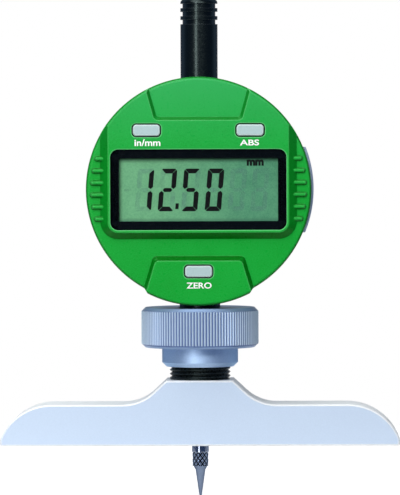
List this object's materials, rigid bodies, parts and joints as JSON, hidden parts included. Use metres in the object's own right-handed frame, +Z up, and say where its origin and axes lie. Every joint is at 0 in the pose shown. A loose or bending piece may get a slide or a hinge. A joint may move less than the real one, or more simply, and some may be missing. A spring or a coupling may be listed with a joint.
{
  "type": "digital depth gauge",
  "caption": "Digital depth gauge: a round indicator with a liquid crystal display and a sprung spindle, clamped by a knurled nut over a flat steel depth base.",
  "frame": {"origin": "centre of the base's measuring face, on the spindle axis", "axes": "+X to the right of the display, -Y towards the viewer, +Z up along the spindle"},
  "size_m": [0.1014, 0.0298, 0.127],
  "materials": {
    "ground_steel": "satin chrome",
    "black_steel": "black oxide, satin",
    "nut_metal": "satin, knurled rim",
    "green_plastic": "fine moulded texture",
    "black_plastic": "satin moulded",
    "clear_window": "clear, polished",
    "lcd": "reflective liquid crystal panel",
    "grey_button": "satin moulded",
    "grey_drawer": "satin moulded",
    "circuit": "solder mask",
    "chip": "moulded resin",
    "elastomer": "layered conductive rubber",
    "spring_steel": "bright",
    "spindle_steel": "ground and polished",
    "bronze": "turned",
    "cell_steel": "bright nickel",
    "grey_metal": "machined",
    "scale": "etched glass epoxy"
  },
  "bodies": {
    "base": {"base": "ground_steel", "collet": "black_steel"},
    "clamp_ring": {"clamp_ring": "spring_steel"},
    "clamp_nut": {"clamp_nut": "nut_metal"},
    "indicator": {"front_bezel": "green_plastic", "rear_housing": "green_plastic", "back_cover": "black_plastic", "back_screws": "spring_steel", "housing_screws": "spring_steel", "stem": "black_steel", "lower_bushing": "bronze", "upper_bushing": "bronze", "window_lens": "clear_window", "display_frame": "black_plastic", "lcd_glass": "lcd", "zebra_strips": "elastomer", "circuit_board": "circuit", "board_screws": "spring_steel", "processor_chip": "chip", "dome_switches": "spring_steel", "battery_contact_negative": "spring_steel", "battery_contact_positive": "spring_steel", "guide_rail": "grey_metal"},
    "spindle": {"spindle": "spindle_steel", "contact_point": "spindle_steel", "spindle_carriage": "grey_metal", "carriage_screw": "spring_steel", "scale_strip": "scale", "guide_pin": "spindle_steel", "return_spring": "spring_steel"},
    "cap": {"spindle_cap": "black_plastic"},
    "battery_drawer": {"battery_drawer": "grey_drawer", "coin_cell": "cell_steel"},
    "button_unit": {"button_unit": "grey_button"},
    "button_abs": {"button_abs": "grey_button"},
    "button_zero": {"button_zero": "grey_button"}
  },
  "joints": [
    {"name": "clamp_ring_lift", "type": "slide", "parent": "base", "child": "clamp_ring", "axis": [0, 0, 1], "range_m": [0, 0.0005]},
    {"name": "clamp_nut_turn", "type": "hinge", "parent": "clamp_ring", "child": "clamp_nut", "pos_m": [0, 0, 0.03], "axis": [0, 0, 1], "range_deg": [0, 180]},
    {"name": "indicator_swivel", "type": "hinge", "parent": "base", "child": "indicator", "pos_m": [0, 0, 0.03], "axis": [0, 0, 1], "continuous": true},
    {"name": "spindle_slide", "type": "slide", "parent": "indicator", "child": "spindle", "axis": [0, 0, 1], "range_m": [0, 0.0136], "stiffness_N_per_m": 20, "springref_m": -0.045, "deforming": ["return_spring"]},
    {"name": "cap_lift", "type": "slide", "parent": "indicator", "child": "cap", "axis": [0, 0, 1], "range_m": [0, 0.022]},
    {"name": "battery_drawer_slide", "type": "slide", "parent": "indicator", "child": "battery_drawer", "axis": [1, 0, 0], "range_m": [0, 0.024]},
    {"name": "button_unit_press", "type": "slide", "parent": "indicator", "child": "button_unit", "axis": [0, 1, 0], "range_m": [0, 0.00055], "stiffness_N_per_m": 1500, "springref_m": -0.0003},
    {"name": "button_abs_press", "type": "slide", "parent": "indicator", "child": "button_abs", "axis": [0, 1, 0], "range_m": [0, 0.00055], "stiffness_N_per_m": 1500, "springref_m": -0.0003},
    {"name": "button_zero_press", "type": "slide", "parent": "indicator", "child": "button_zero", "axis": [0, 1, 0], "range_m": [0, 0.00055], "stiffness_N_per_m": 1500, "springref_m": -0.0003}
  ],
  "couplings": [
    {"joint": "clamp_nut_turn", "follows": "clamp_ring_lift", "rad_per_m": 6283.2}
  ]
}
